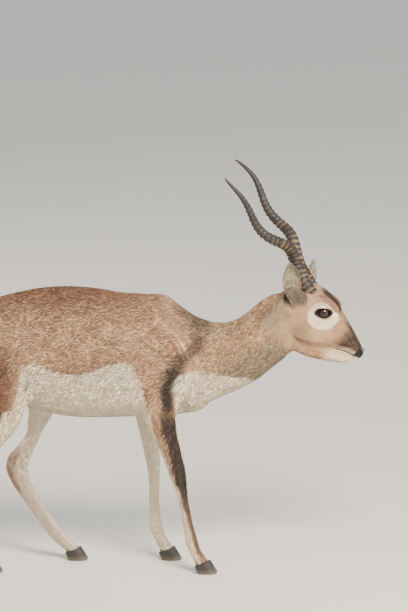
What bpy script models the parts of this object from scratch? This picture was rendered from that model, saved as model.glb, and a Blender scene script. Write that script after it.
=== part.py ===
"""Young male blackbuck, a life-size still model standing on its four feet.

Metres, +Z up, nose towards +X, the animal's left towards +Y. The origin is on the floor, at the middle of
the model's box. The outlines below are drawn in millimetres on an animal 715 mm high at the withers, with
x = 0 under the withers, and SIZE turns them into metres.
"""

import math

import bmesh
import bpy
from mathutils import Matrix, Vector
from mathutils.bvhtree import BVHTree

# Driving dimensions, in metres
WITHERS_HEIGHT = 0.715
HORN_RADIUS = 0.0150
RING_HEIGHT = 0.0017
EAR_WIDTH = 0.026
EAR_THICKNESS = 0.0028
EYE_RADIUS = 0.0152
GAP = 0.0003
FILLET = 0.007
FLESH_VOXEL, HEAD_VOXEL = 0.003, 0.0018
FLESH_TRIANGLES, HEAD_TRIANGLES = 4400, 3000

DRAWN_HEIGHT_MM = 715.0
SIZE = WITHERS_HEIGHT / DRAWN_HEIGHT_MM
BOX_MIDDLE = Vector((-0.0330, 0.0, 0.0))

RIGHT, LEFT = -1, 1
SIDE_NAMES = {RIGHT: "right", LEFT: "left"}

# Trunk and neck: back x, back z, belly x, belly z, half width, fullness of the upper and of the lower half
TRUNK = (
    (-538, 628, -536, 560, 30, 2, 2),
    (-522, 655, -517, 520, 54, 2, 2),
    (-486, 684, -477, 478, 73, 1.9, 2),
    (-439, 703, -432, 452, 84, 1.9, 2),
    (-384, 718, -380, 430, 91, 1.9, 2.1),
    (-323, 730, -325, 411, 96, 1.9, 2.1),
    (-252, 735, -261, 398, 103, 1.9, 2.2),
    (-180, 730, -194, 394, 106, 1.9, 2.2),
    (-109, 719, -124, 395, 101, 1.8, 2.1),
    (-45, 716, -60, 396, 91, 1.7, 1.9),
    (3, 713, -2, 397, 82, 1.6, 1.8),
    (38, 686, 41, 403, 73, 1.7, 1.8),
    (81, 656, 85, 420, 63, 1.8, 1.9),
    (127, 641, 134, 445, 55, 1.9, 2),
    (169, 644, 181, 465, 51, 2, 2),
    (209, 667, 230, 491, 49, 2, 2),
    (246, 698, 273, 525, 47, 2, 2),
    (281, 716, 314, 560, 44, 2, 2),
    (307, 712, 333, 590, 34, 2, 2),
)

# Legs: x, z, half depth fore and aft, half width, distance from the middle of the body
FORE_RIGHT = (
    (-44, 640, 44, 16, 56),
    (8, 575, 56, 25, 58),
    (20, 515, 58, 32, 58),
    (-8, 460, 50, 32, 61),
    (-14, 420, 45, 28, 64),
    (-4, 375, 37, 23, 66),
    (12, 325, 28.5, 19, 67),
    (20, 298, 26.5, 18, 67),
    (26, 268, 24.5, 18, 66),
    (31, 244, 20.5, 16.5, 66),
    (36, 214, 15.5, 12.5, 66),
    (42, 172, 13.3, 11.5, 66),
    (50, 122, 13.8, 12, 66),
    (54, 98, 15, 13.5, 66),
    (57, 80, 16.5, 15.5, 66),
    (65, 58, 14, 14.5, 66),
    (73, 42, 15, 17, 66),
    (82, 27, 16, 18, 66),
)
FORE_LEFT = (
    (-56, 640, 44, 16, 56),
    (-6, 575, 56, 25, 58),
    (2, 515, 58, 32, 58),
    (-42, 460, 50, 32, 61),
    (-62, 415, 40, 28, 63),
    (-64, 368, 30, 22, 65),
    (-62, 325, 23, 18.5, 65),
    (-58, 295, 21, 18, 64),
    (-55, 266, 19.5, 18, 64),
    (-53, 242, 17, 16, 64),
    (-53, 210, 15, 12.5, 64),
    (-55, 172, 13.8, 11.5, 64),
    (-55, 130, 14.5, 12, 64),
    (-54, 102, 15.8, 13.5, 64),
    (-52, 84, 16.8, 15.5, 64),
    (-44, 60, 14, 14.5, 64),
    (-36, 43, 15, 17, 64),
    (-27, 27, 16, 18, 64),
)
HIND_RIGHT = (
    (-448, 640, 62, 26, 44),
    (-430, 570, 92, 38, 50),
    (-420, 500, 88, 40, 54),
    (-416, 445, 64, 34, 56),
    (-415, 396, 42, 27, 58),
    (-442, 352, 29, 21, 60),
    (-462, 310, 23, 16, 61),
    (-488, 276, 28, 17, 61),
    (-497, 244, 22, 15.5, 61),
    (-500, 200, 17, 12.5, 61),
    (-502, 150, 15.5, 12, 61),
    (-503, 108, 16, 13.5, 61),
    (-501, 84, 17.5, 15.5, 61),
    (-490, 60, 14.5, 14.5, 61),
    (-480, 43, 15, 17, 61),
    (-471, 27, 16, 18, 61),
)
HIND_LEFT = (
    (-440, 640, 62, 26, 44),
    (-416, 572, 92, 38, 50),
    (-380, 508, 86, 40, 54),
    (-344, 452, 62, 34, 56),
    (-336, 400, 36, 25, 58),
    (-350, 362, 25, 21, 59),
    (-357, 334, 18.5, 17, 59),
    (-378, 296, 21.5, 16, 59),
    (-404, 252, 31, 17, 59),
    (-397, 212, 25, 16, 59),
    (-380, 177, 20.5, 14, 59),
    (-358, 141, 20, 13, 59),
    (-335, 104, 18.5, 13.5, 59),
    (-311, 70, 18.5, 15.5, 59),
    (-290, 48, 16, 15, 59),
    (-279, 38, 15.5, 17, 59),
    (-268, 27, 16, 18, 59),
)
TAIL = (
    (-482, 662, 22, 24, 0),
    (-517, 652, 16, 17, 0),
    (-543, 628, 10, 14, 0),
    (-556, 590, 8.5, 14, 0),
    (-560, 545, 8, 14, 0),
    (-559, 505, 6.5, 11, 0),
    (-557, 486, 3, 4, 0),
)

# Muscles and bones under the skin: centre x, z, half length, half thickness, half depth, tilt in degrees,
# distance from the middle of the body
HIP_MASS = (-377, 662, 62, 24, 36, 0, 49)
BUTTOCK_MASS = (-488, 566, 52, 30, 80, 12, 38)
BRISKET_MASS = (58, 462, 60, 46, 56, -25, 0)

# Head: forward f and up u from the point midway between the eyes, along and across the line of the face
EYE_X, EYE_Z, EYE_Y = 410.0, 675.0, 35.0
HEAD_PITCH = math.radians(45)
SKULL = (
    (-112, -26, -96, -86, 30, 2, 2),
    (-94, 4, -70, -104, 41, 2, 1.9),
    (-66, 28, -34, -116, 46, 2, 1.8),
    (-34, 37, -4, -120, 46, 2.1, 1.7),
    (0, 35, 24, -118, 43, 2.2, 1.7),
    (30, 27, 48, -100, 38, 2.2, 1.8),
    (62, 17, 72, -70, 31, 2.2, 2),
    (92, 7, 94, -49, 27, 2.3, 2.2),
    (118, -3, 118, -38, 25, 2.4, 2.2),
    (136, -9, 138, -34, 22.5, 2.4, 2.2),
    (147, -15, 149, -33, 16, 2.2, 2.2),
)
JAW = (
    (-24, -112, 30, 22, 0),
    (20, -100, 34, 23, 0),
    (58, -85, 30, 20, 0),
    (90, -70, 24, 18, 0),
    (112, -60, 18, 17, 0),
    (126, -49, 12, 13, 0),
    (134, -43, 6, 8, 0),
)

# Forms on each side of the head: f, u, half length, half thickness, half depth, tilt, distance from its middle
SIDE_MASSES = (
    (0, 0, 23, 19, 18, -38, 33.5),
    (0, 2, 31, 17, 23, -36, 29),
    (-6, 19, 34, 13, 15, -8, 26),
    (2, -62, 60, 13, 34, -24, 27),
    (139, -19, 10, 7, 9, 35, 12),
)
LID_OPENING = (0.5, 1, 19.5, 20, 11, -41, 52)
FACE_CUTS = (
    (31, -10, 12, 5, 2.4, 4, 31),
    (141, -19, 6.5, 6, 3.2, 40, 14),
)
MOUTH_LINE = ((90, -53), (102, -46), (114, -40), (128, -35), (142, -31))
MOUTH_DEPTH = 1.6
EAR_ROOT = (-72, 41, -30)
EAR_TIPS = {RIGHT: (332, -84, 816), LEFT: (372, 110, 778)}
EAR_FACES = {RIGHT: (0.45, -0.85, 0.1), LEFT: (0.85, -0.2, 0.1)}
EAR_OUTLINE = ((0, 0.5), (0.12, 0.66), (0.3, 0.92), (0.5, 1.0), (0.7, 0.86), (0.87, 0.52), (1, 0.14))
EAR_BENDS = {RIGHT: 0.002, LEFT: -0.014}

# Horns: base and tip in the drawn frame, then the corkscrew's radius, turns, start and change of pace, how
# far up it reaches its full radius and how it fades, and the bow and the S of its axis, forward and outward
HORN_BASE, HORN_TIP = (368.2, 19.6, 734.4), (177.6, 98.6, 1038.7)
HORN_COIL, HORN_TURNS, HORN_PHASE, HORN_PACE = 0.0114, 1.88, 2.24, 0.12
HORN_RISE, HORN_FADE = 0.40, 0.09
HORN_BOW, HORN_BEND = (0.0128, 0.0226), (0.0041, -0.0250)

# Hooves: each claw's length and width, the cleft, how far it stands ahead of the pastern and its top's tilt
HOOF_LENGTH, CLAW_WIDTH, CLEFT = 50, 17.5, 3.0
HOOF_AHEAD, HOOF_TILT = 14, 18

# Cuts between the nodes: a point x, z on the cut and its lean back from upright in degrees
NECK_CUT = (100, 545, 8)
HEAD_CUT = (298, 640, -14)

BELLY_CUT = (0, 382, 90)

# Legs: side, joints, the wedge round the upper leg (back, front, top, inner edge, slope), the knee or hock cut
LEGS = {
    "foreleg_right": (RIGHT, FORE_RIGHT, (-120, 120, 392, 26, 50), (28, 257, 103)),
    "foreleg_left": (LEFT, FORE_LEFT, (-125, 90, 392, 26, 50), (-54, 257, 90)),
    "hindleg_right": (RIGHT, HIND_RIGHT, (-575, -330, 430, 12, 52), (-493, 258, 77)),
    "hindleg_left": (LEFT, HIND_LEFT, (-570, -262, 430, 12, 52), (-403, 238, 96)),
}

COLOURS = {
    "coat": ((0.42, 0.235, 0.12), 0.85),
    "pale_coat": ((0.72, 0.62, 0.48), 0.85),
    "horn": ((0.16, 0.115, 0.075), 0.5),
    "hoof": ((0.05, 0.042, 0.036), 0.45),
    "eye": ((0.02, 0.012, 0.008), 0.06),
}


def point(x, y, z):
    """A drawn point in millimetres, as metres in the model's frame."""
    return Vector((x, y, z)) * SIZE - BOX_MIDDLE


HEAD_TO_MODEL = Matrix.Translation(point(EYE_X, 0, EYE_Z)) @ Matrix.Rotation(HEAD_PITCH, 4, "Y")


def head_point(f, y, u):
    """A drawn point of the head, forward along the face's line, sideways and up from it."""
    return HEAD_TO_MODEL @ (Vector((f, y, u)) * SIZE)


def clear_scene():
    for old in list(bpy.data.objects):
        bpy.data.objects.remove(old, do_unlink=True)


def new_object(name, bm):
    bmesh.ops.recalc_face_normals(bm, faces=bm.faces)
    mesh = bpy.data.meshes.new(name)
    bm.to_mesh(mesh)
    bm.free()
    made = bpy.data.objects.new(name, mesh)
    bpy.context.scene.collection.objects.link(made)
    return made


def copy_of(obj, name):
    made = obj.copy()
    made.data = obj.data.copy()
    made.name = name
    bpy.context.scene.collection.objects.link(made)
    return made


def paint(obj, name):
    colour, roughness = COLOURS[name]
    finish = bpy.data.materials.get(name) or bpy.data.materials.new(name)
    finish.use_nodes = True
    shader = finish.node_tree.nodes["Principled BSDF"]
    shader.inputs["Base Color"].default_value = (*colour, 1)
    shader.inputs["Roughness"].default_value = roughness
    obj.data.materials.clear()
    obj.data.materials.append(finish)


def smooth_rows(rows, steps):
    """Catmull-Rom rows between the drawn ones, each drawn row kept."""
    filled = []
    for i in range(len(rows) - 1):
        drawn = (rows[max(i - 1, 0)], rows[i], rows[i + 1], rows[min(i + 2, len(rows) - 1)])
        for step in range(steps):
            t = step / steps
            filled.append(
                tuple(
                    0.5 * (2 * q + (r - p) * t + (2 * p - 5 * q + 4 * r - s) * t**2 + (3 * q - p - 3 * r + s) * t**3)
                    for p, q, r, s in zip(*drawn)
                )
            )
    filled.append(tuple(rows[-1]))
    return filled


def oval(centre, up, across, half_up, half_across, top_power=2, bottom_power=2, sides=16):
    """A ring of points on an oval whose upper and lower halves may be fuller or keener."""
    ring = []
    for i in range(sides):
        angle = 2 * math.pi * i / sides
        c, s = math.cos(angle), math.sin(angle)
        power = 2 / (top_power if s > 0 else bottom_power)
        rise = math.copysign(abs(s) ** power, s) * half_up
        reach = math.copysign(abs(c) ** power, c) * half_across
        ring.append(centre + up * rise + across * reach)
    return ring


def skin_rings(name, rings, fold=None):
    """One closed mesh through the rings. A folded shell is split into triangles alike on both its faces."""
    bm = bmesh.new()
    rows = [[bm.verts.new(p) for p in ring] for ring in rings]
    sides = len(rings[0])
    for a, b in zip(rows, rows[1:]):
        for i in range(sides):
            j = (i + 1) % sides
            if fold is None:
                bm.faces.new((a[i], a[j], b[j], b[i]))
            elif i < fold:
                bm.faces.new((a[i], a[j], b[j]))
                bm.faces.new((a[i], b[j], b[i]))
            else:
                bm.faces.new((a[i], a[j], b[i]))
                bm.faces.new((a[j], b[j], b[i]))
    bm.faces.new(rows[0])
    bm.faces.new(rows[-1])
    return new_object(name, bm)


def profile_loft(name, stations, place, steps=3, sides=32):
    """A loft through stations that name an upper and a lower point of the side view."""
    across = Vector((0, 1, 0))
    rings = []
    for ax, az, bx, bz, half_width, top, bottom in smooth_rows(stations, steps):
        upper, lower = place(ax, 0, az), place(bx, 0, bz)
        up = upper - lower
        middle = (upper + lower) / 2
        rings.append(oval(middle, up.normalized(), across, up.length / 2, half_width * SIZE, top, bottom, sides))
    return skin_rings(name, rings)


def limb_loft(name, joints, side, place, steps=3, sides=16):
    """A loft along a limb's centre line, each ring square to it."""
    rows = smooth_rows(joints, steps)
    centres = [place(x, side * y, z) for x, z, _, _, y in rows]
    rings = []
    for i, (_, _, depth, width, _) in enumerate(rows):
        along = centres[min(i + 1, len(rows) - 1)] - centres[max(i - 1, 0)]
        fore = along.cross(Vector((0, 1, 0))).normalized()
        across = fore.cross(along).normalized()
        rings.append(oval(centres[i], fore, across, depth * SIZE, width * SIZE, sides=sides))
    return skin_rings(name, rings)


def mass(name, shape, side, place, segments=20):
    """A muscle or bone as a tilted ellipsoid."""
    x, z, half_length, half_thick, half_depth, tilt, y = shape
    bm = bmesh.new()
    bmesh.ops.create_uvsphere(bm, u_segments=segments, v_segments=segments // 2 + 2, radius=1)
    origin = place(x, side * y, z)
    along = (place(x + 1, side * y, z) - origin).normalized()
    pitch = math.atan2(-along.z, along.x) + math.radians(tilt)
    shape_matrix = Matrix.Diagonal(Vector((half_length, half_thick, half_depth)) * SIZE).to_4x4()
    bm.transform(Matrix.Translation(origin) @ Matrix.Rotation(pitch, 4, "Y") @ shape_matrix)
    return new_object(name, bm)


def apply_modifiers(obj):
    graph = bpy.context.evaluated_depsgraph_get()
    mesh = bpy.data.meshes.new_from_object(obj.evaluated_get(graph))
    obj.modifiers.clear()
    obj.data = mesh
    return obj


def joined(name, objects):
    """The meshes of several objects in one mesh, which a remesh then fuses."""
    bm = bmesh.new()
    for obj in objects:
        bm.from_mesh(obj.data)
        bpy.data.objects.remove(obj)
    return new_object(name, bm)


def remesh(obj, voxel):
    modifier = obj.modifiers.new("Remesh", "REMESH")
    modifier.mode = "VOXEL"
    modifier.voxel_size = voxel
    modifier.adaptivity = 0


def swell(obj, distance):
    modifier = obj.modifiers.new("Displace", "DISPLACE")
    modifier.strength = distance
    modifier.mid_level = 0


def fused(name, objects, voxel, fillet, rounds):
    """One skin over all the pieces: hollows narrower than the fillet are filled, then it is smoothed."""
    flesh = joined(name, objects)
    remesh(flesh, voxel)
    swell(flesh, fillet)
    remesh(flesh, voxel)
    swell(flesh, -fillet)
    remesh(flesh, voxel)
    smooth = flesh.modifiers.new("Smooth", "SMOOTH")
    smooth.factor = 0.5
    smooth.iterations = rounds
    return keep_largest(apply_modifiers(flesh))


def coarse(obj, triangles):
    """The same form with fewer triangles."""
    obj.data.calc_loop_triangles()
    thin = obj.modifiers.new("Decimate", "DECIMATE")
    thin.ratio = triangles / len(obj.data.loop_triangles)
    thin.use_collapse_triangulate = True
    return keep_largest(apply_modifiers(obj))


def keep_largest(obj, side=0):
    """Only the largest closed surface of a mesh, on one side of the middle if a side is named."""
    bm = bmesh.new()
    bm.from_mesh(obj.data)
    groups, seen = [], set()
    for start in bm.verts:
        if start in seen:
            continue
        seen.add(start)
        group, queue = [], [start]
        while queue:
            vert = queue.pop()
            group.append(vert)
            for edge in vert.link_edges:
                other = edge.other_vert(vert)
                if other not in seen:
                    seen.add(other)
                    queue.append(other)
        groups.append(group)
    groups.sort(key=lambda group: len(group) if side * group[0].co.y >= 0 else 0)
    bmesh.ops.delete(bm, geom=[vert for group in groups[:-1] for vert in group], context="VERTS")
    bm.to_mesh(obj.data)
    bm.free()
    return obj


def boolean(obj, other, operation):
    """obj joined with, cut by or kept within a closed helper, which is used up."""
    modifier = obj.modifiers.new("Boolean", "BOOLEAN")
    modifier.operation = operation
    modifier.object = other
    modifier.solver = "EXACT"
    apply_modifiers(obj)
    bpy.data.objects.remove(other)
    return keep_largest(obj)


def cut_at(obj, cut, ahead, margin, side=0):
    """Keeps what lies ahead of or behind a leaning cut, and a margin beyond it, behind a flat face."""
    x, z, lean = cut
    normal = Vector((math.cos(math.radians(lean)), 0, math.sin(math.radians(lean))))
    if ahead:
        normal = -normal
    bm = bmesh.new()
    bm.from_mesh(obj.data)
    everything = bm.verts[:] + bm.edges[:] + bm.faces[:]
    centre = point(x, 0, z) + normal * margin
    bmesh.ops.bisect_plane(bm, geom=everything, dist=1e-6, plane_co=centre, plane_no=normal, clear_outer=True)
    rim = [edge for edge in bm.edges if edge.is_boundary]
    bmesh.ops.triangle_fill(bm, edges=rim, use_beauty=True, normal=normal)
    bm.to_mesh(obj.data)
    bm.free()
    return keep_largest(obj, side)


def leg_space(side, back, front, top, inner, roll, gap):
    """A wedge round one leg, under a cut that slopes up and out from the belly, with a gap round it."""
    slope = math.tan(math.radians(roll))
    near, far = inner * SIZE - gap, 0.4
    lift = gap * math.hypot(1, slope)
    tops = [top * SIZE + slope * (y - inner * SIZE) + lift for y in (far, near)]
    outline = ((near, -0.1), (far, -0.1), (far, tops[0]), (near, tops[1]))
    ends = (point(back, 0, 0).x - gap, point(front, 0, 0).x + gap)
    return skin_rings("wedge", [[Vector((x, side * y, z)) for y, z in outline] for x in ends])


def part_off(flesh, name, cut, ahead):
    """The flesh on one side of a cut becomes a node, and the flesh keeps the rest, a gap apart."""
    piece = copy_of(flesh, name)
    cut_at(piece, cut, ahead, -GAP / 2)
    cut_at(flesh, cut, not ahead, -GAP / 2)
    return piece


def wedge_off(flesh, name, side, space):
    """The flesh within a leg's wedge becomes a node, and the flesh keeps the rest, a gap apart."""
    piece = copy_of(flesh, name)
    boolean(piece, leg_space(side, *space, 0.0), "INTERSECT")
    boolean(flesh, leg_space(side, *space, GAP), "DIFFERENCE")
    return piece


def seat(piece, base):
    """Cuts the root of a piece to the surface it grows from, a gap above it."""
    swollen = copy_of(base, "swollen")
    swell(swollen, GAP)
    apply_modifiers(swollen)
    return boolean(piece, swollen, "DIFFERENCE")


def head_forms():
    forms = [profile_loft("skull", SKULL, head_point), limb_loft("jaw", JAW, 1, head_point)]
    for side in (RIGHT, LEFT):
        for shape in SIDE_MASSES:
            forms.append(mass("form", shape, side, head_point))
        f, y, u = EAR_ROOT
        forms.append(limb_loft("ear_root", ((f + 10, u - 16, 12, 14, y - 22), (f, u, 15, 13, y - 4)), side, head_point))
    return forms


def surface_rows(head, line, side, radius):
    """Rows of a thin limb that follows a line f, u on the side of the head, on its surface."""
    tree = BVHTree.FromObject(head, bpy.context.evaluated_depsgraph_get())
    rows = []
    for f, u in smooth_rows(line, 4):
        start = head_point(f, side * 90, u)
        hit = tree.ray_cast(start, Vector((0, -side, 0)))[0]
        y = abs(hit.y) / SIZE if hit else 2.0
        rows.append((f, u, radius, radius, y))
    return rows


def eye(side):
    bm = bmesh.new()
    bmesh.ops.create_uvsphere(bm, u_segments=16, v_segments=10, radius=EYE_RADIUS)
    bm.transform(Matrix.Translation(head_point(0, side * EYE_Y, 0)))
    return new_object(f"eye_{SIDE_NAMES[side]}", bm)


def cut_face(head):
    """Eye sockets behind the open lids, tear slits, nostrils and the line of the mouth."""
    for side in (RIGHT, LEFT):
        bm = bmesh.new()
        bmesh.ops.create_uvsphere(bm, u_segments=16, v_segments=10, radius=EYE_RADIUS + GAP)
        bm.transform(Matrix.Translation(head_point(0, side * EYE_Y, 0)))
        socket = boolean(new_object("socket", bm), mass("lids", LID_OPENING, side, head_point), "UNION")
        boolean(head, socket, "DIFFERENCE")
        for shape in FACE_CUTS:
            boolean(head, mass("cut", shape, side, head_point, 12), "DIFFERENCE")
        rows = surface_rows(head, MOUTH_LINE, side, MOUTH_DEPTH)
        boolean(head, limb_loft("mouth", rows, side, head_point, 1, 8), "DIFFERENCE")


def horn(side, rings=25, sides=10):
    """A ringed corkscrew horn that leaves the skull beside its twin and spreads outwards and back."""
    base, tip = point(*HORN_BASE), point(*HORN_TIP)
    base.y, tip.y = base.y * side, tip.y * side
    axis = (tip - base).normalized()
    ahead = Vector((0, 1, 0)).cross(axis).normalized()
    outward = axis.cross(ahead).normalized()
    if outward.y * side < 0:
        outward = -outward
    rows = rings * 2 + 8
    centres, radii = [], []
    for i in range(-3, rows + 1):
        t = max(i, 0) / rows
        bow, bend = math.sin(math.pi * t), math.sin(2 * math.pi * t)
        angle = HORN_PHASE + 2 * math.pi * HORN_TURNS * (t + HORN_PACE * bow / math.pi)
        swing = HORN_COIL * min(1, t / HORN_RISE) * (1 - t) ** HORN_FADE
        centre = base + axis * ((tip - base).length * i / rows)
        centre += ahead * (swing * math.cos(angle) + HORN_BOW[0] * bow + HORN_BEND[0] * bend)
        centre += outward * (swing * math.sin(angle) + HORN_BOW[1] * bow + HORN_BEND[1] * bend)
        ridge = RING_HEIGHT * (1 - t) ** 0.5 if i % 2 == 1 and i < rows - 9 else 0
        centres.append(centre)
        radii.append(HORN_RADIUS * (1 - t) ** 0.6 + 0.0014 + ridge)
    made = []
    for i, centre in enumerate(centres):
        along = centres[min(i + 1, len(centres) - 1)] - centres[max(i - 1, 0)]
        fore = along.cross(Vector((0, 1, 0))).normalized()
        made.append(oval(centre, fore, fore.cross(along).normalized(), radii[i] * 1.06, radii[i] * 0.94, sides=sides))
    return skin_rings(f"horn_{SIDE_NAMES[side]}", made)


def ear(side, rows=11, half_sides=8):
    """A cupped leaf on a short round root: its inner face bulges at the root and is hollow above it."""
    f, y, u = EAR_ROOT
    root, tip = head_point(f, side * y, u), point(*EAR_TIPS[side])
    axis = (tip - root).normalized()
    mouth = Vector(EAR_FACES[side])
    mouth = (mouth - axis * mouth.dot(axis)).normalized()
    across = axis.cross(mouth).normalized()
    length = (tip - root).length
    rings = []
    for i in range(-1, rows + 1):
        t = max(i, 0) / rows
        width = EAR_WIDTH * row_value(EAR_OUTLINE, t)
        depth = width * (1.0 - 0.45 * t)
        wall = EAR_THICKNESS * (1 - 0.4 * t)
        hollow = min(1, max(0, (t - 0.04) / 0.22))
        centre = root + axis * (length * i / rows) - mouth * (EAR_BENDS[side] * math.sin(math.pi * t))
        back, front = [], []
        for k in range(half_sides + 1):
            angle = math.pi * k / half_sides
            c, s = math.cos(angle), math.sin(angle)
            back.append(centre + across * (width * c) - mouth * (depth * s))
            bulge = (1 - hollow) * 0.8 * depth * s
            cup = hollow * max(0.0, depth - wall) * s
            front.append(centre + across * ((width - wall * hollow) * c) + mouth * (bulge - cup + wall * 0.2))
        rings.append(back + front[::-1])
    return skin_rings(f"ear_{SIDE_NAMES[side]}", rings, half_sides + 1)


def row_value(rows, t):
    """The value of a short table at t, on straight lines between its rows."""
    for (t0, v0), (t1, v1) in zip(rows, rows[1:]):
        if t <= t1:
            return v0 + (v1 - v0) * (t - t0) / (t1 - t0)
    return rows[-1][1]


def coronet(joints):
    """The leaning cut between a pastern and its hooves, as x, z and lean."""
    x, z = joints[-1][0], joints[-1][1]
    return (x, z, 90 + HOOF_TILT)


def hoof(foot, outer):
    """One claw of a cloven hoof: flat pointed sole, sloping wall and a tilted top under the pastern."""
    side, joints = LEGS[foot][:2]
    x, top, _, _, y = joints[-1]
    offset = (CLEFT + CLAW_WIDTH) / 2
    tilt = math.tan(math.radians(HOOF_TILT))
    rings = []
    for level in (0.0, 0.1, 0.5, 1.0):
        ring = []
        for i in range(16):
            angle = 2 * math.pi * i / 16
            c, s = math.cos(angle), math.sin(angle)
            spread = 1 - 0.08 if level == 0 else 1
            length = HOOF_LENGTH / 2 * spread * (1 - 0.22 * level)
            width = CLAW_WIDTH / 2 * spread * (1 - 0.55 * max(c, 0) ** 2)
            ahead = HOOF_AHEAD * (1 - level) + length * c
            height = level * (top + (ahead if level == 1.0 else length * c * 0.8) * tilt)
            inward = side * 1.5 * max(c, 0) ** 2
            across = side * y + (1 if outer else -1) * side * (offset - abs(inward)) + width * s
            ring.append(point(x + ahead, across, max(0, height - GAP / SIZE * level)))
        rings.append(ring)
    return skin_rings(f"{foot}_{'outer' if outer else 'inner'}_hoof", rings)


def main():
    clear_scene()
    forms = [profile_loft("trunk", TRUNK, point)] + head_forms()
    for foot, (side, joints, _, _) in LEGS.items():
        x, z, depth, width, y = joints[-1]
        forms.append(limb_loft(foot, joints + ((x + 9, z - 16, depth, width, y),), side, point))
    for side in (RIGHT, LEFT):
        forms += [mass("hip", HIP_MASS, side, point), mass("buttock", BUTTOCK_MASS, side, point)]
    forms.append(mass("brisket", BRISKET_MASS, 1, point))
    flesh = fused("torso", forms, FLESH_VOXEL, FILLET, 14)
    head = fused("head", head_forms() + [profile_loft("neck", TRUNK[9:], point)], HEAD_VOXEL, FILLET, 3)

    cut_at(head, HEAD_CUT, True, 0.010)
    cut_at(flesh, HEAD_CUT, False, 0.010)
    coarse(head, HEAD_TRIANGLES)
    coarse(flesh, FLESH_TRIANGLES)
    cut_at(head, HEAD_CUT, True, -GAP / 2)
    cut_at(flesh, HEAD_CUT, False, -GAP / 2)
    neck = part_off(flesh, "neck", NECK_CUT, True)

    for side in (RIGHT, LEFT):
        foot = f"foreleg_{SIDE_NAMES[side]}"
        _, joints, space, knee = LEGS[foot]
        arm = wedge_off(flesh, f"{foot}_upper", side, space)
        lower = part_off(arm, f"{foot}_lower", knee, False)
        cut_at(lower, coronet(joints), True, -GAP)
    gaskins = {side: copy_of(flesh, f"hindleg_{SIDE_NAMES[side]}_gaskin") for side in (RIGHT, LEFT)}
    cut_at(flesh, BELLY_CUT, True, -GAP / 2)
    for side, gaskin in gaskins.items():
        foot = f"hindleg_{SIDE_NAMES[side]}"
        _, joints, space, hock = LEGS[foot]
        cut_at(gaskin, BELLY_CUT, False, -GAP / 2, side)
        lower = part_off(gaskin, f"{foot}_lower", hock, False)
        cut_at(lower, coronet(joints), True, -GAP)
        wedge_off(flesh, f"{foot}_thigh", side, space)
    cut_face(head)
    for side in (RIGHT, LEFT):
        paint(eye(side), "eye")
        paint(seat(horn(side), head), "horn")
        paint(seat(seat(ear(side), head), neck), "coat")
    paint(seat(limb_loft("tail", TAIL, 1, point), flesh), "coat")
    for foot in LEGS:
        paint(hoof(foot, True), "hoof")
        paint(hoof(foot, False), "hoof")
    for obj in bpy.data.objects:
        if not obj.data.materials:
            paint(obj, "coat")


main()
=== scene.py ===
"""Finish of the young male blackbuck: one coat over the whole body, ringed horns, hooves and wet eyes.

The model is fixed, nose towards +X, the animal's left towards +Y, metres. Lengths in the tables below are in
millimetres on the drawing, with x = 0 under the withers, as in the part's source.
"""

import math

import bmesh
import bpy
import numpy as np
from mathutils import Matrix, Vector
from mathutils.bvhtree import BVHTree

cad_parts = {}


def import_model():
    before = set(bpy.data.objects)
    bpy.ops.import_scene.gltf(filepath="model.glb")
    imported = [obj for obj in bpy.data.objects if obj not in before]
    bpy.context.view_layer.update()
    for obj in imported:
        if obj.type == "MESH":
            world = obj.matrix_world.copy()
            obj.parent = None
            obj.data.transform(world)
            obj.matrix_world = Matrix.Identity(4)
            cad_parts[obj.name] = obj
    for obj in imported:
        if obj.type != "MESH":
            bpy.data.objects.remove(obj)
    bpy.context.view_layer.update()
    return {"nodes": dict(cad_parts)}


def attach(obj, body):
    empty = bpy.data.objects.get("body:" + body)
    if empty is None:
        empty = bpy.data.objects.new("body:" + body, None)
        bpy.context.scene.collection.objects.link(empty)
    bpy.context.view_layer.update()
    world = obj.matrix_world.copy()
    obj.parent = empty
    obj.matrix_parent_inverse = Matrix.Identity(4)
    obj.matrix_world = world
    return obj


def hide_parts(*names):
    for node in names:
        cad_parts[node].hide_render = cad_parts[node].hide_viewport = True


MM = 0.001
SEED = 11
DRAWING_TO_MODEL = np.array((33.0, 0.0, 0.0))
RIGHT, LEFT = -1, 1

FLESH = (
    "torso", "neck", "head", "ear_right", "ear_left", "tail",
    "foreleg_right_upper", "foreleg_right_lower", "foreleg_left_upper", "foreleg_left_lower",
    "hindleg_right_thigh", "hindleg_right_gaskin", "hindleg_right_lower",
    "hindleg_left_thigh", "hindleg_left_gaskin", "hindleg_left_lower",
)

# Skin: swell that joins the nodes, voxel, smoothing passes on the body and on the head, how far a pass evens
# the surface and the next one swells it back, depth of the coat on the body and on the face, triangles kept
SKIN_SWELL, SKIN_VOXEL = 0.0004, 0.0017
BODY_PASSES, HEAD_PASSES = 60, 8
EVEN_BY, SWELL_BY = 0.63, -0.65
COAT_DEPTH, FACE_DEPTH = 0.0017, 0.0006
SKIN_TRIANGLES = 170000

# Camera: the photograph's viewing angle, taken from far off as with a long lens
CAMERA_AZIMUTH, CAMERA_HEIGHT, CAMERA_ROLL = math.radians(8), math.radians(14), math.radians(1.947)
CAMERA_DISTANCE, FRAME_WIDTH_PX, METRES_PER_PX, FILM_WIDTH = 24.0, 408, 0.00253, 36.0
CAMERA_TARGET = Vector((0.1326, 0.0, 0.683))

# Head: its origin between the eyes and the slope of the face, and where it ends at the nape and the throat
HEAD_ORIGIN, HEAD_PITCH = (410.0, 0.0, 675.0), math.radians(45)
NAPE, THROAT = (-120, -70), (-152, -118)

# Eyeball: distance from the middle, radius and the gap round it, then its clear front and the way it looks
EYE_SIDE, EYE_RADIUS, EYE_GAP = 35.0, 0.0152, 0.0001
CORNEA_BULGE, CORNEA_EDGE, GAZE = 0.035, 0.62, (0.30, 1.0, 0.02)

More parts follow.
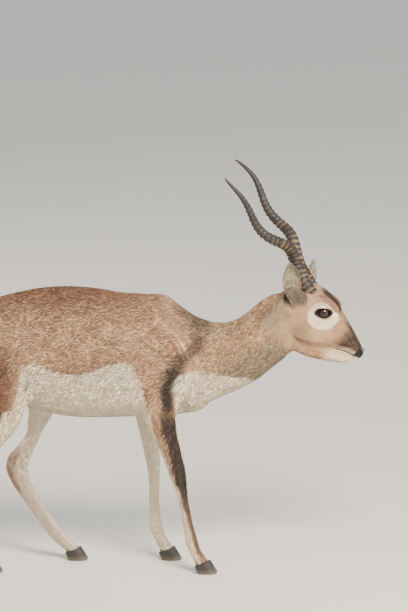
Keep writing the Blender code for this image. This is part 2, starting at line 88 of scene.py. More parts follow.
# Lower edge of the tan on the flank and the white front of the thigh, then upper edge of the breast patch
FLANK_EDGE = (
    (-460, 300), (-422, 370), (-388, 438), (-366, 488), (-357, 539), (-333, 557), (-293, 550), (-270, 536),
    (-237, 529), (-196, 534), (-162, 544), (-136, 554), (-98, 562), (-74, 558), (-61, 528), (-47, 489),
    (-38, 430), (-30, 380),
)
BREAST_EDGE = (
    (12, 470), (30, 502), (44, 523), (82, 534), (120, 526), (166, 512), (211, 508), (250, 500), (290, 470),
)

# Dark stripe from the withers down the base of the neck to the foreleg, wider at the top as painted shade: x,
# z, half width, strength
STRIPE = (
    (2, 712, 9, 0.35), (27, 698, 12, 0.50), (67, 665, 18, 0.60), (104, 633, 20, 0.66), (92, 595, 19, 0.66),
    (60, 568, 17, 0.70), (31, 529, 19, 0.90), (16, 491, 19, 0.95), (14, 440, 15, 0.95),
)

# Outside of the foreleg by height: z, where the white of the rear ends and the dark front starts ahead of the
# limb's middle, and the strength of the dark
FORE_EDGE = (
    (40, 5, 6, 0.55), (112, 5, 6, 0.55), (175, -1, 3, 0.66), (217, -5, -1, 0.85), (242, -9, -6, 0.95),
    (275, -14, -6, 0.90), (342, -18, 2, 0.90), (442, -28, -4, 0.90), (476, -50, -7, 0.90),
)

# How far the left foreleg stands back and the left hind leg stands ahead of the right ones: height, distance
LEFT_FORE_BACK = ((368, 60), (460, 34), (515, 18), (600, 0))
LEFT_HIND_AHEAD = ((355, 92), (450, 72), (505, 40), (600, 0))

# Lines of the head, forward and up: the mouth, the top of the forehead, and the bridge of the nose
MOUTH = ((60, -66), (90, -53), (102, -46), (114, -40), (128, -35), (142, -31))
FOREHEAD = ((-60, 35), (-30, 37), (30, 25), (100, 2), (145, -12))
BRIDGE = ((-30, 38), (30, 25), (100, 2), (145, -12))

# Raised lips, the line between them, and the rims of the lids: height or depth, place and width
LIP_HEIGHTS, LIP_WIDTH, LIP_FROM_LINE = (0.5, 0.4), 2.5, 4.5
MOUTH_DEPTH, MOUTH_WIDTH = 1.2, 1.6
LID_RISE, LID_PLACE, LID_WIDTH = 0.8, 1.2, 0.1

# Middle lines of the limbs seen from the side, x and z, by which their front and rear are told
LIMBS = {
    ("fore", RIGHT): (
        (20, 515), (-8, 460), (-4, 375), (20, 298), (31, 244), (42, 172), (54, 98), (65, 58), (82, 20),
    ),
    ("fore", LEFT): (
        (2, 515), (-42, 460), (-64, 368), (-58, 295), (-53, 242), (-55, 172), (-54, 102), (-44, 60),
        (-27, 20),
    ),
    ("hind", RIGHT): (
        (-420, 500), (-416, 445), (-442, 352), (-488, 276), (-500, 200), (-503, 108), (-490, 60), (-471, 20),
    ),
    ("hind", LEFT): (
        (-380, 508), (-344, 452), (-350, 362), (-378, 296), (-404, 252), (-380, 177), (-335, 104), (-290, 48),
        (-268, 20),
    ),
}

# Ears: root in the head frame, tip on the drawing, the way the hollow faces
EARS = (
    ((-72, -41, -30), (332, -84, 816), (0.45, -0.85, 0.1)),
    ((-72, 41, -30), (372, 110, 778), (0.85, -0.2, 0.1)),
)

# White ring round the eye: middle, length and height. Opening of the lids: tilt, half length and half height
EYE_RING = (409.0, 663.0, 38.0, 34.0)
LID_TILT, LID_LENGTH, LID_HEIGHT = math.radians(-41), 20.5, 12.0

# Horns, as in the part's source: base, tip, corkscrew radius, turns, start, change of pace, rise, fade, bow,
# bend, then radius at the base and the tip, taper, the hidden stump, thickness fore and aft and across
HORN_BASE, HORN_TIP = (368.2, 19.6, 734.4), (177.6, 98.6, 1038.7)
HORN_COIL, HORN_TURNS, HORN_PHASE, HORN_PACE = 0.0114, 1.88, 2.24, 0.12
HORN_RISE, HORN_FADE = 0.40, 0.09
HORN_BOW, HORN_BEND = (0.0128, 0.0226), (0.0041, -0.0250)
HORN_RADIUS, HORN_TIP_RADIUS, HORN_TAPER, HORN_STUMP = 0.0150, 0.0012, 0.6, 0.045
HORN_DEEP, HORN_WIDE = 1.06, 0.94
HORN_ROWS, STUMP_ROWS, HORN_SIDES = 330, 12, 28

# Rings: two steps to a ring over the whole horn, the step where they end and over how many they fade, how
# uneven they stand, how they lean, how sharp, high and deep they are, and how much higher they are in front
RING_STEPS, RINGS_END, RINGS_FADE, RING_UNEVEN, RING_LEAN = 58, 49.6, 5, 0.16, 0.35
RING_SHARP, RING_HEIGHT, GROOVE_DEPTH, RING_FRONT, RING_FRONT_TURN = 1.5, 0.0021, 0.0007, 0.25, 0.6

# Hooves: the pastern's lower end at each foot, x, z and distance from the middle, then a claw's length and
# width, the cleft, how far the sole stands ahead, the slope of the top, the sides, and its lean and drop
FEET = {
    "foreleg_right": (RIGHT, 82, 27, 66), "foreleg_left": (LEFT, -27, 27, 64),
    "hindleg_right": (RIGHT, -471, 27, 61), "hindleg_left": (LEFT, -268, 27, 59),
}
HOOF_LENGTH, CLAW_WIDTH, CLEFT, HOOF_AHEAD, HOOF_TILT = 50, 17.5, 3.0, 14, math.tan(math.radians(18))
CLAW_SIDES, CLAW_LEAN, TOP_DROP = 40, 1.5, 0.4

# A claw's levels from sole to top, the share of its full size at the lowest four, its taper upwards and ahead
CLAW_LEVELS = (0.0, 0.0, 0.02, 0.06, 0.12, 0.2, 0.3, 0.4, 0.5, 0.6, 0.7, 0.8, 0.9, 0.97, 1.0)
SOLE_SPREAD, CLAW_TAPER, TOE_TAPER = (0.86, 0.93, 0.97, 0.995), 0.22, 0.55

# Growth lines round a claw: depth as a share of its size, turn of their wave over its height, where they are
GROWTH_DEPTH, GROWTH_TURN, GROWTH_FROM, GROWTH_TO = 0.012, 60, 0.1, 0.95

# Tufts: how many, and length, width and lift of a body tuft, with the spread of these from tuft to tuft
TUFTS = 330000
TUFTS_PER_PIECE = 45000
TUFT_LENGTH, TUFT_WIDTH, TUFT_LIFT = 0.0170, 0.0017, 0.075
LENGTH_SPREAD, LIFT_SPREAD = (0.65, 1.25), (0.4, 1.5)

# On face and feet: length as a share of a body tuft's, least width, and how much closer they stand
SMALL_SHARE, NARROWEST, CROWDING = 0.34, 0.55, 3.2

# Longer hair under the belly and on the tail, as a share on top of the plain length
BELLY_LONGER, TAIL_LONGER = 0.45, 0.9

# How deep the root stands, the heel's height as a share of the width, how far above the skin the tip may
# stand, and the bare rim kept round the eyeball
ROOT_DEPTH, HEEL_HEIGHT, TIP_LOW, TIP_HIGH, LID_CLEAR = 0.0004, 0.55, 0.0007, 0.0019, 0.003

# How far the locks and the single tufts turn from the lie of the coat, in radians
LOCK_TURN, STRAY_TURN = 0.20, 0.08

# A tuft's four faces, and the corners of its patch on the bake map with the patch's size there
TUFT_FACES = np.array(((0, 1, 3), (1, 2, 3), (2, 0, 3), (0, 2, 1)))
PATCH_CORNERS = np.array(((-0.5, -0.5), (0.5, -0.5), (0.1, 0.0), (0.0, 0.5)))
PATCH = 0.003

# The parts of the coat, and the drawn lines that part them: trunk from neck, fore from hind, legs from trunk
REGIONS = ("trunk", "neck", "head", "forelegs", "hindlegs")
NECK_LINE, FORE_LINE, LEG_LINE = 110, -220, 400


def srgb(text):
    """An sRGB hex colour as linear red, green, blue and alpha."""
    parts = [int(text[i : i + 2], 16) / 255 for i in (0, 2, 4)]
    return (*[c / 12.92 if c <= 0.04045 else ((c + 0.055) / 1.055) ** 2.4 for c in parts], 1.0)


def drawn(points):
    """Model coordinates of drawn points in millimetres."""
    return (np.asarray(points, float) + DRAWING_TO_MODEL) * MM


HEAD_AXES = np.array(
    (
        (math.cos(HEAD_PITCH), 0, -math.sin(HEAD_PITCH)),
        (0, 1, 0),
        (math.sin(HEAD_PITCH), 0, math.cos(HEAD_PITCH)),
    )
)


def head_frame(co):
    """Points as forward, sideways and up along the line of the face, in millimetres from between the eyes."""
    return (co / MM - DRAWING_TO_MODEL - np.array(HEAD_ORIGIN)) @ HEAD_AXES.T


def head_point(f, y, u):
    """The model coordinates of a point of the head."""
    return Vector(drawn(np.array(HEAD_ORIGIN) + np.array((f, y, u)) @ HEAD_AXES))


def step(value, low, high):
    """A smooth 0 to 1 step, also from high down to low."""
    t = np.clip((value - low) / (high - low), 0, 1)
    return t * t * (3 - 2 * t)


# Meshes


def in_scene(name, data):
    """An object of the scene that holds a mesh, a lamp or a camera."""
    made = bpy.data.objects.new(name, data)
    bpy.context.scene.collection.objects.link(made)
    return made


def new_mesh(name, co, faces, finish):
    """A smooth-shaded piece from points and faces."""
    mesh = bpy.data.meshes.new(name)
    mesh.from_pydata([tuple(p) for p in co], [], [tuple(f) for f in faces])
    mesh.polygons.foreach_set("use_smooth", np.ones(len(mesh.polygons), bool))
    mesh.materials.append(finish)
    return in_scene(name, mesh)


def keep_at_points(mesh, name, values):
    """Keeps a number or a vector at each point of a mesh, for its finish to read."""
    values = np.asarray(values, np.float32)
    kind, field = ("FLOAT_VECTOR", "vector") if values.ndim > 1 else ("FLOAT", "value")
    mesh.attributes.new(name, kind, "POINT").data.foreach_set(field, values.ravel())


def edge_ends(mesh):
    """The two vertices of each edge."""
    edges = np.empty(len(mesh.edges) * 2, np.int64)
    mesh.edges.foreach_get("vertices", edges)
    return edges[0::2], edges[1::2]


def coordinates(mesh):
    """A mesh's points as rows of x, y and z."""
    co = np.empty(len(mesh.vertices) * 3, np.float32)
    mesh.vertices.foreach_get("co", co)
    return co.reshape(-1, 3).astype(float)


def set_coordinates(mesh, co):
    """Moves a mesh's points."""
    mesh.vertices.foreach_set("co", co.astype(np.float32).ravel())
    mesh.update()


def normals(mesh):
    """The way the surface faces at each point of a mesh."""
    made = np.empty(len(mesh.vertices) * 3, np.float32)
    mesh.vertices.foreach_get("normal", made)
    return made.reshape(-1, 3).astype(float)


def apply_modifiers(obj):
    """Makes an object's modifiers part of its mesh."""
    graph = bpy.context.evaluated_depsgraph_get()
    mesh = bpy.data.meshes.new_from_object(obj.evaluated_get(graph))
    obj.modifiers.clear()
    obj.data = mesh
    return obj


def join_copies(name, nodes):
    """The meshes of the flesh nodes in one mesh."""
    bm = bmesh.new()
    for node in nodes:
        bm.from_mesh(node.data)
    bmesh.ops.remove_doubles(bm, verts=bm.verts, dist=1e-6)
    mesh = bpy.data.meshes.new(name)
    bm.to_mesh(mesh)
    bm.free()
    return in_scene(name, mesh)


def even_out(mesh, passes, weight, swell=SWELL_BY):
    """Smooths a mesh without thinning it: each pass evens the surface and the next swells it back."""
    a, b = edge_ends(mesh)
    co = coordinates(mesh)
    count = np.bincount(a, minlength=len(co)) + np.bincount(b, minlength=len(co))
    count = np.maximum(count, 1)[:, None]
    for i in range(passes * 2):
        mean = np.empty_like(co)
        for axis in range(3):
            mean[:, axis] = np.bincount(a, co[b, axis], len(co)) + np.bincount(b, co[a, axis], len(co))
        move = mean / count - co
        co += move * (EVEN_BY if i % 2 == 0 else swell) * weight(i // 2)[:, None]
    set_coordinates(mesh, co)


def make_skin(frame):
    """One skin over the flesh nodes, with no seam, inside them by the coat's depth."""
    skin = join_copies("coat_skin", [frame["nodes"][name] for name in FLESH])
    swell = skin.modifiers.new("Swell", "DISPLACE")
    swell.strength = SKIN_SWELL
    swell.mid_level = 0
    remesh = skin.modifiers.new("Remesh", "REMESH")
    remesh.mode = "VOXEL"
    remesh.voxel_size = SKIN_VOXEL
    apply_modifiers(skin)
    keep_largest(skin)
    head = head_weight(coordinates(skin.data))
    even_out(skin.data, BODY_PASSES, lambda i: np.where(i < HEAD_PASSES, 1.0, 1 - head))
    elbow = behind_elbow(coordinates(skin.data))
    even_out(skin.data, BODY_PASSES, lambda i: elbow, EVEN_BY)
    shape_head(skin.data)
    co = coordinates(skin.data)
    depth = COAT_DEPTH + (FACE_DEPTH - COAT_DEPTH) * np.maximum(head, feet_weight(co))
    set_coordinates(skin.data, co - normals(skin.data) * depth[:, None])
    skin.data.calc_loop_triangles()
    thin = skin.modifiers.new("Decimate", "DECIMATE")
    thin.ratio = SKIN_TRIANGLES / len(skin.data.loop_triangles)
    apply_modifiers(skin)
    skin.data.polygons.foreach_set("use_smooth", np.ones(len(skin.data.polygons), bool))
    return skin


def keep_largest(obj):
    """Drops any closed scrap inside or outside the main surface."""
    mesh = obj.data
    a, b = edge_ends(mesh)
    label = np.arange(len(mesh.vertices))
    while True:
        low = np.minimum(label[a], label[b])
        fresh = label.copy()
        np.minimum.at(fresh, a, low)
        np.minimum.at(fresh, b, low)
        fresh = fresh[fresh]
        if np.array_equal(fresh, label):
            break
        label = fresh
    main = np.bincount(label).argmax()
    bm = bmesh.new()
    bm.from_mesh(mesh)
    doomed = [v for v, mark in zip(bm.verts, label) if mark != main]
    bmesh.ops.delete(bm, geom=doomed, context="VERTS")
    bm.to_mesh(mesh)
    bm.free()


def head_weight(co):
    """1 on the head and ears, 0 on the body."""
    f, _, u = head_frame(co).T
    return step(f, *NAPE) * step(u, *THROAT)


def feet_weight(co):
    """1 at the feet, 0 above the knees."""
    return step(co[:, 2], 0.30, 0.08)


def behind_elbow(co):
    """1 on the chest behind the elbows, where the skin lies slack and even."""
    x, y, z = (co / MM - DRAWING_TO_MODEL).T
    return step(abs(x + 118), 62, 30) * step(z, 392, 412) * step(z, 490, 462) * step(abs(y), 25, 35)


def ear_weight(co, side=None):
    """1 on the ears, from a little under the leaf's root up, and the share of the way to the tip."""
    near, share = np.zeros(len(co)), np.zeros(len(co))
    for root, tip, _ in EARS:
        if side not in (None, np.sign(root[1])):
            continue
        base, along = np.array(head_point(*root)), drawn(tip)
        t = ((co - base) @ (along - base)) / ((along - base) @ (along - base))
        away = np.linalg.norm(co - base - np.clip(t, 0, 1)[:, None] * (along - base), axis=1)
        here = step(away, 0.036, 0.029) * step(t, -0.22, 0.0)
        share = np.where(here > near, t, share)
        near = np.maximum(near, here)
    return near, share


def ear_inside(co, normal):
    """Where the hollow inner faces of the ears are."""
    inside = np.zeros(len(co))
    for root, _, face in EARS:
        here = ear_weight(co, np.sign(root[1]))[0]
        inside = np.maximum(inside, here * step(normal @ (np.array(face) / np.linalg.norm(face)), 0.05, 0.55))
    return inside


def lid_ring(f, u):
    """Distance from the middle of the eye as a share of the opening of the lids."""
    cos, sin = math.cos(LID_TILT), math.sin(LID_TILT)
    return np.hypot((f * cos - u * sin) / LID_LENGTH, (f * sin + u * cos) / LID_HEIGHT)


def shape_head(mesh):
    """Presses in the line of the mouth, and raises the lips and the rims of the lids."""
    co, normal = coordinates(mesh), normals(mesh)
    f, y, u = head_frame(co).T
    head = head_weight(co)
    off = u - np.interp(f, *np.array(MOUTH).T)
    upper, lower = (np.exp(-(((off - place) / LIP_WIDTH) ** 2)) for place in (LIP_FROM_LINE, -LIP_FROM_LINE))
    line = MOUTH_DEPTH * np.exp(-((off / MOUTH_WIDTH) ** 2))
    lips = LIP_HEIGHTS[0] * upper + LIP_HEIGHTS[1] * lower
    move = head * (lips - line) * step(f, 87, 96) * step(f, 146, 141)
    lids = np.exp(-(((lid_ring(f, u) - LID_PLACE) / LID_WIDTH) ** 2))
    move += head * step(abs(y), 22, 28) * LID_RISE * lids
    set_coordinates(mesh, co + normal * (move * MM)[:, None])


# Markings and painted shade, shared by the skin and the tufts


def line_distance(x, z, line):
    """Distance to a line of x, z points less its half width there, and its strength from a fourth value."""
    best = np.full(len(x), 1e6)
    strength = np.ones(len(x))
    for a, b in zip(line, line[1:]):
        dx, dz = b[0] - a[0], b[1] - a[1]
        t = np.clip(((x - a[0]) * dx + (z - a[1]) * dz) / (dx * dx + dz * dz), 0, 1)
        away = np.hypot(x - a[0] - t * dx, z - a[1] - t * dz) - (a[2] + (b[2] - a[2]) * t)
        closer = away < best
        best = np.where(closer, away, best)
        if len(a) > 3:
            strength = np.where(closer, a[3] + (b[3] - a[3]) * t, strength)
    return best, strength


def on_limbs(co):
    """How far points lie ahead of the middle line of their limb, and the weight of the limbs."""
    x, y, z = (co / MM - DRAWING_TO_MODEL).T
    ahead = np.zeros(len(co))
    limb = np.zeros(len(co))
    for (part, side), line in LIMBS.items():
        middle, heights = np.array(line)[::-1].T
        centre = np.interp(z, heights, middle)
        here = (y * side > 0) & ((x > FORE_LINE) == (part == "fore")) & (z < 520)
        ahead = np.where(here, x - centre, ahead)
        limb = np.where(here, step(z, 470, 400) * step(abs(x - centre), 90, 60), limb)
    return ahead, limb


def body_markings(co, normal, head):
    """White, dark, rust and grey of the trunk, neck and limbs, 0 to 1, with painted shade in part of the grey
    and the dark.

    Each step has the drawn measures in millimetres where a marking starts and where it is full.
    """
    x, y, z = (co / MM - DRAWING_TO_MODEL).T
    body = 1 - head
    out = np.sign(y) * normal[:, 1]
    ahead, limb = on_limbs(co)
    fore, hind = limb * (x > FORE_LINE), limb * (x < FORE_LINE)

    fore_shift = step(x, -170, -90) * np.interp(z, *np.array(LEFT_FORE_BACK).T)
    hind_shift = step(x, -230, -320) * np.interp(z, *np.array(LEFT_HIND_AHEAD).T)
    beside = x + np.where(y > 0, fore_shift - hind_shift, 0)

    # White of the belly, breast, underside and rump, then of the legs
    flank = np.interp(beside, *np.array(FLANK_EDGE).T)
    breast = np.interp(beside, *np.array(BREAST_EDGE).T)
    belly = step(z - flank, 8, -8) * step(beside, -30, -42) * step(beside, -470, -440) * step(z, 360, 380)
    belly *= np.where(beside < -366, step(beside, -400, -366) + step(abs(y), 74, 60), 1).clip(0, 1)
    chest = step(z - breast, 9, -9) * step(beside, 25, 38) * step(x, 262, 205) * step(z, 378, 412)
    under = step(abs(y), 58, 40) * step(z, 470, 430) * step(x, -520, -480) * (z > 385)
    rump = step(np.hypot(y / 42, (z - 540) / 118), 1.1, 0.8) * step(x, -484, -506)
    tail_back = step(x, -532, -546) * step(-normal[:, 0], 0.0, 0.45)

    edge_z, white_end, dark_start, strength = np.array(FORE_EDGE).T
    rear = fore * step(ahead - np.interp(z, edge_z, white_end), 4, -3)
    front_white = fore * step(ahead, 2, 10) * step(out, 0.48, 0.3) * step(z, 262, 285)
    inner = limb * step(out, 0.12, -0.2)
    shin = hind * step(ahead, 4, 12) * step(z, 100, 200) * 0.8
    shank = hind * step(z, 240, 150) * step(out, 0.85, 0.35)
    white = np.maximum.reduce((belly, chest, under, rump, rear, front_white, inner, shin, shank))

    # Dark stripe down to the foreleg, its top partly painted shade, then hocks, painted shade on the thigh
    # and in the fold of the groin, spine and hair at the hooves
    away, tone = line_distance(beside, z, STRIPE)
    stripe = tone * step(away, 13, -13) * np.maximum(step(z, 600, 640), step(abs(y), 24, 42)) * body
    stripe *= step(z, 395, 420)
    leg = fore * step(ahead - np.interp(z, edge_z, dark_start), -5, 5) * np.interp(z, edge_z, strength)
    leg *= step(out, 0.0, 0.25) * step(z, 480, 455) * (1 - front_white) * step(z, 30, 60)
    hock = 0.4 * hind * step(out, 0.1, 0.6) * step(ahead, 12, -4) * step(z, 420, 330)
    # Painted shade: a soft dark spot on the outer thigh, and the fold of the groin, which also dims the white
    # there
    thigh = 0.42 * np.exp(-(((x + 394) / 24) ** 2 + ((z - 535) / 42) ** 2)) * (out > 0.2)
    groin_shade = 0.8 * step(line_distance(x, z, ((-338, 509, 2), (-348, 488, 3)))[0], 5, -2) * step(out, 0.1, 0.4)
    spine = 0.34 * step(z, 705, 732) * step(x, 30, -60) * body
    coronet = 0.5 * step(z, 46, 30)
    dark = np.maximum.reduce((stripe, leg, hock, thigh, groin_shade, spine, coronet))
    white = white * (1 - 0.9 * groin_shade) * (1 - 0.85 * tail_back)

    # Rust of the back, the flank's hem, the haunch, the points of the hocks and the forearms
    back = 0.78 * step(z, 650, 725) * step(x, 40, -60) * body
    hem = 0.5 * step(z - flank, 45, 5) * step(x, -300, -250) * step(x, -60, -110) * (z < 620)
    haunch = 1.05 * step(x, -350, -420) * step(z, 640, 560) * step(z, 330, 420)
    point = 0.8 * hind * step(ahead, -2, -14) * step(z, 330, 290) * step(z, 70, 230)
    forearm = 0.4 * fore * step(out, 0.1, 0.4) * step(z, 480, 400)
    rust = np.maximum.reduce((back, hem, haunch, point, forearm))
    white = white * (1 - 0.75 * point)

    # Grey under the neck, which is painted shade, and grey along its top
    low = np.interp(x, (100, 170, 250, 300), (600, 556, 590, 635))
    high = np.interp(x, (40, 130, 210, 300), (690, 632, 655, 715))
    grey = 0.75 * step(x, 110, 190) * step(z - low, 40, -30) * body
    grey = np.maximum(grey, 0.55 * step(z - high, -40, -6) * step(x, 20, 60) * step(x, 250, 190) * body)
    return white * body, dark * body, rust * body, grey


def face_markings(co, head):
    """White, dark, rust, grey and bare black of the face, 0 to 1, the grey low on the jaw being painted
    shade.
    """
    x, y, z = (co / MM - DRAWING_TO_MODEL).T
    f, _, u = head_frame(co).T
    off = u - np.interp(f, *np.array(MOUTH).T)
    top = u - np.interp(f, *np.array(FOREHEAD).T)

    # White ring, chin, lip and throat
    ring = np.hypot((x - EYE_RING[0]) / EYE_RING[2], (z - EYE_RING[1]) / EYE_RING[3])
    patch = step(ring, 1.24, 0.80) * step(abs(y), 16, 24)
    chin = 0.58 * step(off, 3, -3) * step(f, 66, 92)
    lip = step(off, 15 - 0.04 * f, 6) * step(f, 88, 108) * step(f, 150, 138) * step(off, -4, 0)
    throat = 0.3 * step(f, 80, 50) * step(f, 0, 30) * step(u - 0.35 * f, -114, -124)
    white = np.maximum.reduce((patch, chin, lip, throat))

    # Dark rims of the lids, mouth, bridge of the nose, brow, gland before the eye and muzzle
    lids = lid_ring(f, u)
    rim = step(lids, 1.30, 1.10) * step(abs(y), 22, 28)
    crease = step(abs(off), 2.6, 1.0) * step(f, 84, 92) * step(f, 148, 143)
    bridge = step(abs(y), 25, 12) * step(u - np.interp(f, *np.array(BRIDGE).T), -20, -8)
    bridge *= (0.5 + 0.4 * step(f, 50, 90)) * step(f, -40, 0)
    brow = step(abs(y), 28, 14) * step(top, -10, -3) * step(f, -52, -30) * step(f, 44, 28)
    smudge = 0.5 * np.exp(-(((f - 92) / 15) ** 2 + ((u + 34) / 9) ** 2))
    muzzle = 0.85 * step(f, 54, 98) * step(off, 9, 18)
    dark = np.maximum.reduce((0.95 * rim, 0.95 * crease, bridge, brow, smudge, muzzle)) * (f < 147)
    white = white * (1 - 0.95 * rim) * (1 - 0.95 * crease) * step(top, -3, -12)

    # Rust of the muzzle and above the eye, grey of the cheek with painted shade low on the jaw, bare black
    # skin of nose, lids and mouth
    rust = 0.45 * step(f, 62, 96) * step(f, 136, 126) * step(off, 8, 16)
    over_eye = step(top, -22, -10) * step(abs(y), 12, 24) * step(f, -42, -20) * step(f, 45, 25)
    rust = np.maximum(rust, 0.75 * over_eye)
    grey = (0.18 + 0.3 * step(f, -60, -85) + 0.3 * step(u, -60, -84) * step(f, 50, 10)).clip(0, 1)
    pad = step(f, 126, 131) * step(u, -34, -29) * step(u - 0.4 * f, -55.5, -60.5)
    bare = np.maximum(pad, 0.9 * step(lids, 1.24, 1.08) * step(abs(y), 22, 28))
    bare = np.maximum(bare, 0.7 * crease)
    return [mark * head for mark in (white, dark, rust, grey, bare)]


def markings(co, normal):
    """The masks that colour the coat, 0 to 1, at points with the skin's normal."""
    head = head_weight(co)
    body_marks = body_markings(co, normal, head)
    face_marks = face_markings(co, head)
    white, dark, rust, grey = (np.maximum(a, b) for a, b in zip(body_marks, face_marks))
    (ear, share), inside = ear_weight(co), ear_inside(co, normal)
    # The ears take the grey all over and the dark in the hollow near the root, both painted shade
    hollow = inside * step(share, 0.42, 0.05)
    keep = 1 - ear
    return {
        "white": white * keep + 0.36 * inside * step(share, 0.05, 0.4),
        "dark": dark * keep + 0.7 * hollow,
        "rust": rust * keep,
        "grey": np.maximum(grey, ear),
        "nose": face_marks[4] * keep,
    }


# Coat


def turned(way, direction, weight):
    """The hair's way, turned towards a direction by a weight."""
    return way * (1 - weight[:, None]) + np.asarray(direction, float) * weight[:, None]


def lie(co, normal):
    """The way the hair points at each point of the skin, along it."""
    x, _, z = (co / MM - DRAWING_TO_MODEL).T
    way = np.tile((-0.95, 0.0, -0.3), (len(co), 1))
    way[:, 2] -= 0.5 * step(z, 560, 440)
    way = turned(way, (-0.75, 0, -0.65), step(x, 40, 150) * step(z, 450, 520))
    way = turned(way, (-0.35, 0, -0.93), on_limbs(co)[1])
    way = turned(way, (0.05, 0, -1), step(z, 300, 200))
    way = turned(way, HEAD_AXES[2] * 0.05 - HEAD_AXES[0], head_weight(co))
    for root, tip, _ in EARS:
        along = drawn(tip) - np.array(head_point(*root))
        way = turned(way, along / np.linalg.norm(along), ear_weight(co, np.sign(root[1]))[0])
    way = turned(way, (-0.05, 0, -1), step(x, -520, -540) * step(z, 660, 640))
    way -= normal * (way * normal).sum(1)[:, None]
    return way / np.maximum(np.linalg.norm(way, axis=1), 1e-6)[:, None]


def laid_down(skin, tips):
    """Tips kept just clear of the skin, so that the hair lies close over hollows and swells."""
    mesh = skin.data
    faces = [tuple(polygon.vertices) for polygon in mesh.polygons]
    surface = BVHTree.FromPolygons([tuple(p) for p in coordinates(mesh)], faces)
    near, facing = np.empty_like(tips), np.empty_like(tips)
    for i, tip in enumerate(tips):
        place, normal, _, _ = surface.find_nearest(Vector(tip))
        near[i], facing[i] = place, normal
    height = ((tips - near) * facing).sum(1)
    return near + facing * np.clip(height, TIP_LOW, TIP_HIGH)[:, None]


def lock_swing(co):
    """-1 to 1: the way neighbouring hairs lean together in locks about 40 mm long."""
    x, y, z = (co / MM - DRAWING_TO_MODEL).T
    return np.sin(x / 13 + 2.1 * np.sin(z / 29 + y / 41)) * np.sin(z / 15 + 1.7 * np.sin(x / 23 + y / 19))


def corner_values(mesh):
    """For each triangle of the skin: its vertices, and the bake map's place at its corners."""
    mesh.calc_loop_triangles()
    count = len(mesh.loop_triangles)
    verts = np.empty(count * 3, np.int32)
    loops = np.empty(count * 3, np.int32)
    mesh.loop_triangles.foreach_get("vertices", verts)
    mesh.loop_triangles.foreach_get("loops", loops)
    uv = np.empty(len(mesh.loops) * 2, np.float32)
    mesh.uv_layers["OFBake"].data.foreach_get("uv", uv)
    return verts.reshape(-1, 3), uv.reshape(-1, 2)[loops].reshape(-1, 3, 2)


def eye_distance(co):
    """Distance to the middle of the nearer eyeball."""
    middles = [np.array(head_point(0, side * EYE_SIDE, 0)) for side in (RIGHT, LEFT)]
    return np.min([np.linalg.norm(co - middle, axis=1) for middle in middles], axis=0)


def scatter_roots(mesh, rng, total):
    """Where the tufts stand on the skin, the way it faces there, and the places on the bake map."""
    co, normal = coordinates(mesh), normals(mesh)
    verts, uv = corner_values(mesh)
    a, b, c = (co[verts[:, i]] for i in range(3))
    area = np.linalg.norm(np.cross(b - a, c - a), axis=1) / 2
    middle = (a + b + c) / 3
    small = np.maximum(head_weight(middle), feet_weight(middle))
    bare = markings(middle, normal[verts[:, 0]])["nose"]
    weight = area * (1 + CROWDING * small) * (1 - bare) * (eye_distance(middle) > EYE_RADIUS + LID_CLEAR)
    chosen = rng.choice(len(area), total, p=weight / weight.sum())
    mix = rng.random((total, 2))
    mix[mix.sum(1) > 1] = 1 - mix[mix.sum(1) > 1]
    mix = np.column_stack((1 - mix.sum(1), mix))[:, :, None]
    root, up = ((values[verts[chosen]] * mix).sum(1) for values in (co, normal))
    return root, up / np.linalg.norm(up, axis=1)[:, None], (uv[chosen] * mix).sum(1)


def tuft_size(root):
    """A tuft's share of a body tuft's size: small on face and feet, long under the belly and on the tail."""
    x, y, z = (root / MM - DRAWING_TO_MODEL).T
    size = 1 + (SMALL_SHARE - 1) * np.maximum(head_weight(root), feet_weight(root))
    return size * (1 + BELLY_LONGER * step(z, 430, 400) * (abs(y) < 50) + TAIL_LONGER * step(x, -525, -545))


def grow_coat(skin, finish):
    """Short tufts over the whole skin, in pieces: each tuft a thin closed spike that lies along the coat."""
    rng = np.random.default_rng(SEED)
    total, larger = ((TUFTS, 1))
    root, up, place = scatter_roots(skin.data, rng, total)
    size = tuft_size(root) * (rng.uniform(*LENGTH_SPREAD, total) * larger)
    along = lie(root, up)
    turn = (LOCK_TURN * lock_swing(root) + rng.normal(0, STRAY_TURN, total))[:, None]
    along = along * np.cos(turn) + np.cross(up, along) * np.sin(turn)
    across = np.cross(up, along)
    length = (TUFT_LENGTH * size)[:, None]
    width = (TUFT_WIDTH * (NARROWEST + (1 - NARROWEST) * size) / 2)[:, None]
    lift = rng.uniform(*LIFT_SPREAD, total)[:, None] * TUFT_LIFT
    base = root - up * ROOT_DEPTH
    tip = laid_down(skin, base + along * length + up * length * lift)
    heel = base + up * width * HEEL_HEIGHT - along * width
    points = np.stack((base - across * width, base + across * width, heel, tip), axis=1)
    values = markings(root, up)
    values["shade"] = rng.normal(0, 1, total).clip(-2, 2)
    region = region_of(root)
    pieces = []
    for number, title in enumerate(REGIONS):
        members = np.flatnonzero(region == number)
        for first in range(0, len(members), TUFTS_PER_PIECE):
            part = members[first : first + TUFTS_PER_PIECE]
            name = f"coat_{title}_{first // TUFTS_PER_PIECE + 1}"
            marks = {mark: value[part] for mark, value in values.items()}
            pieces.append(tuft_piece(name, points[part], root[part], place[part], marks, finish))
    return pieces


def region_of(co):
    """The number of the coat's part at each point."""
    x, _, z = (co / MM - DRAWING_TO_MODEL).T
    region = np.zeros(len(co), int)
    region[x > NECK_LINE] = REGIONS.index("neck")
    region[head_weight(co) > 0.5] = REGIONS.index("head")
    region[(z < LEG_LINE) & (x > FORE_LINE)] = REGIONS.index("forelegs")
    region[(z < LEG_LINE) & (x <= FORE_LINE)] = REGIONS.index("hindlegs")
    return region


